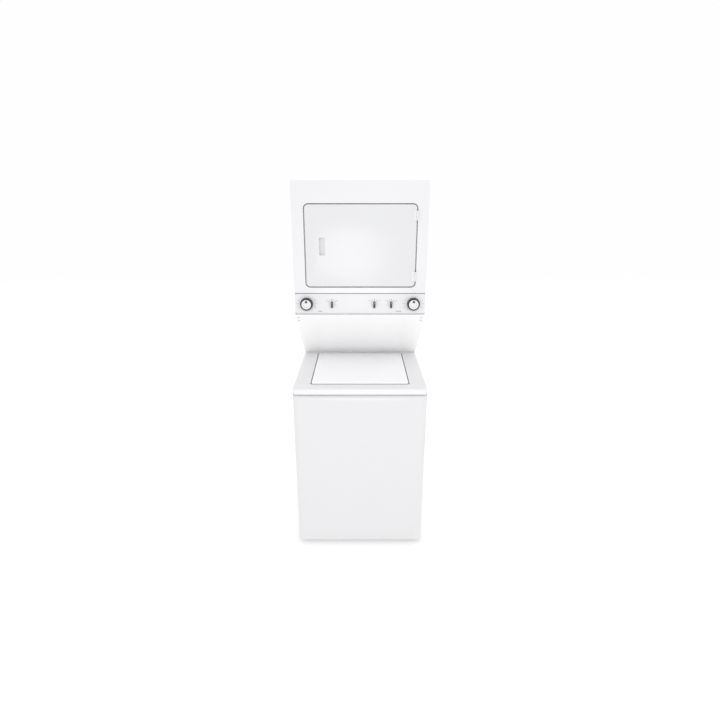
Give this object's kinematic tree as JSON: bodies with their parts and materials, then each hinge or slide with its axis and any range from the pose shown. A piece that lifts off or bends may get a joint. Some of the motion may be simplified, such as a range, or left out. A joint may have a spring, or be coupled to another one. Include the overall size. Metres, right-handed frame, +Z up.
{
  "type": "laundry center",
  "caption": "Full-size stacked laundry centre: top-loading washer with a lid in its deck, sloped back panel, control console and front-loading dryer with a side-hinged door above.",
  "frame": {"origin": "centre of the footprint, on the floor, halfway between the washer's front and the end of the rear fittings", "axes": "+Z up, -Y towards the user, +X to the right of a person facing the front"},
  "size_m": [0.686, 0.8, 1.943],
  "materials": {
    "white_enamel": "gloss enamel on sheet steel",
    "console_white": "smooth moulded",
    "dark_knob": "fine moulded texture",
    "galvanised": "zinc coated",
    "steel": "bright zinc",
    "stainless": "satin",
    "tub_plastic": "moulded polypropylene",
    "black_plastic": "moulded",
    "cast_metal": "as cast",
    "brass": "machined",
    "rubber": "matt"
  },
  "bodies": {
    "cabinet": {"washer_side_panels": "white_enamel", "washer_front_panel": "white_enamel", "washer_deck": "white_enamel", "sloped_panel": "white_enamel", "dryer_side_panels": "white_enamel", "dryer_top_panel": "white_enamel", "dryer_front_panel": "white_enamel", "door_hinge_brackets": "white_enamel", "front_bulkhead": "white_enamel", "idler_arm": "white_enamel", "console_panel": "console_white", "base_pan": "galvanised", "rear_panels": "galvanised", "suspension_rods": "galvanised", "heater_housing": "galvanised", "base_shelf": "galvanised", "exhaust_duct": "galvanised", "panel_screws": "steel", "outer_tub": "tub_plastic", "tub_cover": "tub_plastic", "control_switches": "black_plastic", "drain_pump": "black_plastic", "drain_hose": "black_plastic", "blower_housing": "black_plastic", "lint_duct": "black_plastic", "gearcase": "cast_metal", "washer_motor": "cast_metal", "dryer_motor": "cast_metal", "inlet_valve": "brass", "leveling_feet": "rubber", "washer_belt": "rubber", "dryer_belt": "rubber"},
    "dryer_door": {"door_outer": "white_enamel", "door_inner": "white_enamel", "door_seal": "rubber", "door_hinge_leaves": "white_enamel"},
    "washer_lid": {"washer_lid": "white_enamel", "lid_liner": "white_enamel", "lid_pins": "steel"},
    "dryer_timer_slider": {"dryer_timer_shaft": "steel"},
    "dryer_timer_dial": {"dryer_timer_knob": "dark_knob", "dryer_timer_cap": "console_white"},
    "washer_timer_slider": {"washer_timer_shaft": "steel"},
    "washer_timer_dial": {"washer_timer_knob": "dark_knob", "washer_timer_cap": "console_white"},
    "dryer_heat_selector": {"dryer_heat_knob": "dark_knob"},
    "wash_load_selector": {"wash_load_knob": "dark_knob"},
    "wash_temp_selector": {"wash_temp_knob": "dark_knob"},
    "basket": {"wash_basket": "stainless", "balance_ring": "tub_plastic", "drive_pulley": "steel"},
    "agitator": {"agitator": "tub_plastic"},
    "softener_cup": {"agitator_cap": "tub_plastic"},
    "washer_motor_rotor": {"washer_motor_pulley": "steel"},
    "drum": {"dryer_drum": "white_enamel", "drum_baffles": "tub_plastic"},
    "dryer_motor_rotor": {"motor_shaft": "steel", "blower_wheel": "galvanised"},
    "idler": {"idler_pulley": "black_plastic"},
    "lint_screen": {"lint_filter": "tub_plastic"}
  },
  "joints": [
    {"name": "dryer_door_hinge", "type": "hinge", "parent": "cabinet", "child": "dryer_door", "pos_m": [0.287, -0.175, 1.625], "axis": [0, 0, 1], "range_deg": [0, 170]},
    {"name": "washer_lid_hinge", "type": "hinge", "parent": "cabinet", "child": "washer_lid", "pos_m": [0, 0.146, 0.93], "axis": [-1, 0, 0], "range_deg": [0, 41]},
    {"name": "dryer_timer_push", "type": "slide", "parent": "cabinet", "child": "dryer_timer_slider", "axis": [0, 1, 0], "range_m": [0, 0.003], "stiffness_N_per_m": 400},
    {"name": "dryer_timer_turn", "type": "hinge", "parent": "dryer_timer_slider", "child": "dryer_timer_dial", "pos_m": [-0.281, -0.18, 1.3275], "axis": [0, -1, 0], "continuous": true},
    {"name": "washer_timer_pull", "type": "slide", "parent": "cabinet", "child": "washer_timer_slider", "axis": [0, -1, 0], "range_m": [0, 0.006]},
    {"name": "washer_timer_turn", "type": "hinge", "parent": "washer_timer_slider", "child": "washer_timer_dial", "pos_m": [0.281, -0.18, 1.3275], "axis": [0, -1, 0], "continuous": true},
    {"name": "dryer_heat_turn", "type": "hinge", "parent": "cabinet", "child": "dryer_heat_selector", "pos_m": [-0.148, -0.175, 1.3235], "axis": [0, -1, 0], "range_deg": [-60, 60]},
    {"name": "wash_load_turn", "type": "hinge", "parent": "cabinet", "child": "wash_load_selector", "pos_m": [0.0755, -0.175, 1.3235], "axis": [0, -1, 0], "range_deg": [-60, 60]},
    {"name": "wash_temp_turn", "type": "hinge", "parent": "cabinet", "child": "wash_temp_selector", "pos_m": [0.164, -0.175, 1.3235], "axis": [0, -1, 0], "range_deg": [-60, 60]},
    {"name": "basket_spin", "type": "hinge", "parent": "cabinet", "child": "basket", "pos_m": [0, -0.07, 0.6], "axis": [0, 0, 1], "continuous": true},
    {"name": "agitator_turn", "type": "hinge", "parent": "basket", "child": "agitator", "pos_m": [0, -0.07, 0.6], "axis": [0, 0, 1], "range_deg": [-90, 90]},
    {"name": "softener_cup_lift", "type": "slide", "parent": "agitator", "child": "softener_cup", "axis": [0, 0, 1], "range_m": [0, 0.06]},
    {"name": "washer_motor_spin", "type": "hinge", "parent": "cabinet", "child": "washer_motor_rotor", "pos_m": [0.1767, -0.07, 0.1], "axis": [0, 0, 1], "continuous": true},
    {"name": "drum_spin", "type": "hinge", "parent": "cabinet", "child": "drum", "pos_m": [0, 0.1, 1.61], "axis": [0, 1, 0], "continuous": true},
    {"name": "dryer_motor_spin", "type": "hinge", "parent": "cabinet", "child": "dryer_motor_rotor", "pos_m": [0.112, 0.1, 1.163], "axis": [0, 1, 0], "continuous": true},
    {"name": "idler_spin", "type": "hinge", "parent": "cabinet", "child": "idler", "pos_m": [0.022, 0.07, 1.203], "axis": [0, 1, 0], "continuous": true},
    {"name": "lint_filter_slide", "type": "slide", "parent": "cabinet", "child": "lint_screen", "axis": [0, 0, 1], "range_m": [0, 0.16]}
  ],
  "couplings": [
    {"joint": "washer_motor_spin", "follows": "basket_spin", "ratio": 3.3929},
    {"joint": "dryer_motor_spin", "follows": "drum_spin", "ratio": 21.786},
    {"joint": "idler_spin", "follows": "drum_spin", "ratio": 12.708}
  ]
}
